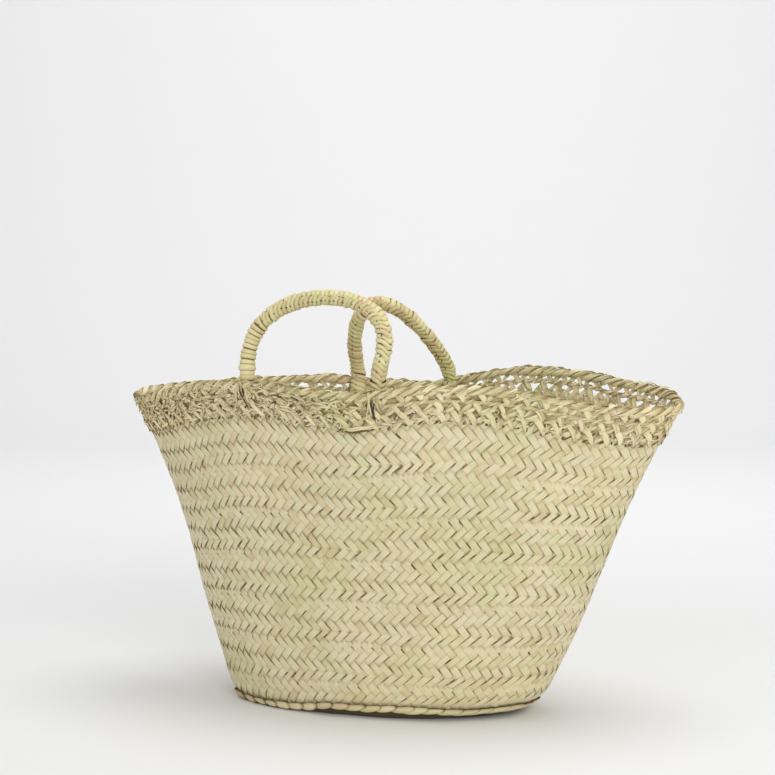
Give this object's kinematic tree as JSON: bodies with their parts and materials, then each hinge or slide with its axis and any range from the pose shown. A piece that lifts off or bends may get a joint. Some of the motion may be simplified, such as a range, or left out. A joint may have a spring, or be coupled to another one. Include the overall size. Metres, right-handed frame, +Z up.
{
  "type": "market basket",
  "caption": "Oval woven palm-leaf market basket with flared walls, an openwork rim and two short wrapped rope handles that fold.",
  "frame": {"origin": "centre of the basket's underside", "axes": "+X along the basket's longest extent, -Y the front, +Z up through the mouth"},
  "size_m": [0.5243, 0.2576, 0.3795],
  "materials": {
    "palm_plait": "dried palm leaf in flat twill plait, satin, straw coloured with greener and browner strips",
    "palm_rim": "narrow split palm leaf, twined and braided, a little rougher and darker",
    "palm_wrap": "palm leaf wrapped tightly and interlocked, satin",
    "palm_cord": "thin twisted palm sewing cord, matt",
    "rope_core": "coarse twisted grass rope, matt, hidden inside the wrapping"
  },
  "bodies": {
    "root": {"base_centre_plait": "palm_plait", "base_outer_plait": "palm_plait", "base_edge_braid": "palm_rim", "wall_course_1": "palm_plait", "wall_course_2": "palm_plait", "wall_course_3": "palm_plait", "wall_course_4": "palm_plait", "wall_course_5": "palm_plait", "wall_course_6": "palm_plait", "wall_course_7": "palm_plait", "base_seam_cord": "palm_cord", "corner_seam_cord": "palm_cord", "wall_seam_cord_1": "palm_cord", "wall_seam_cord_2": "palm_cord", "wall_seam_cord_3": "palm_cord", "wall_seam_cord_4": "palm_cord", "wall_seam_cord_5": "palm_cord", "wall_seam_cord_6": "palm_cord", "rim_seam_cord": "palm_cord", "rim_foot_row": "palm_rim", "rim_net": "palm_rim", "rim_top_braid": "palm_rim", "front_left_rope_end": "palm_wrap", "front_right_rope_end": "palm_wrap", "back_left_rope_end": "palm_wrap", "back_right_rope_end": "palm_wrap", "front_left_lashing": "palm_rim", "front_right_lashing": "palm_rim", "back_left_lashing": "palm_rim", "back_right_lashing": "palm_rim"},
    "front_handle": {"front_handle_rope": "rope_core", "front_handle_wrapping": "palm_wrap"},
    "back_handle": {"back_handle_rope": "rope_core", "back_handle_wrapping": "palm_wrap"}
  },
  "joints": [
    {"name": "front_handle_fold", "type": "hinge", "parent": "root", "child": "front_handle", "pos_m": [-0.0235, -0.10523, 0.30338], "axis": [0.9888, -0.149, 0], "range_deg": [-60, 72]},
    {"name": "back_handle_fold", "type": "hinge", "parent": "root", "child": "back_handle", "pos_m": [-0.007, 0.11019, 0.29851], "axis": [0.9944, 0.1061, 0], "range_deg": [-84, 48]}
  ]
}
